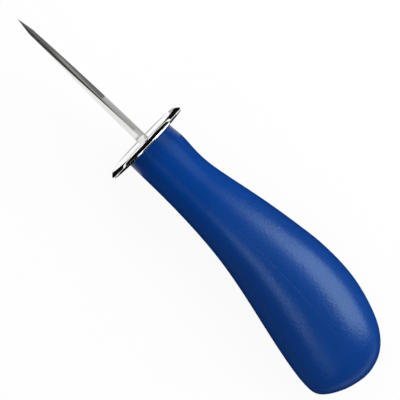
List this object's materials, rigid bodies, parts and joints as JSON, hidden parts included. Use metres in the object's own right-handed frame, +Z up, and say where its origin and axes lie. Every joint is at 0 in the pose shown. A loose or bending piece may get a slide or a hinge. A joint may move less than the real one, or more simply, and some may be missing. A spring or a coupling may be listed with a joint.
{
  "type": "oyster knife",
  "caption": "Oyster knife with a short double-bevelled lancet blade, a round dished steel guard and a curved blue moulded palm handle.",
  "frame": {"origin": "bottom centre of the knife's box as it lies on its side on a table", "axes": "+X from the point to the butt of the handle, +Y to the thumb's side, +Z up from the table"},
  "size_m": [0.172, 0.0396, 0.0345],
  "materials": {
    "blade_steel": "satin-ground stainless steel",
    "guard_steel": "mirror-polished stainless steel",
    "handle_plastic": "blue polypropylene with a fine matt moulded grain"
  },
  "bodies": {
    "root": {"blade": "blade_steel", "guard": "guard_steel", "handle": "handle_plastic"}
  },
  "joints": []
}
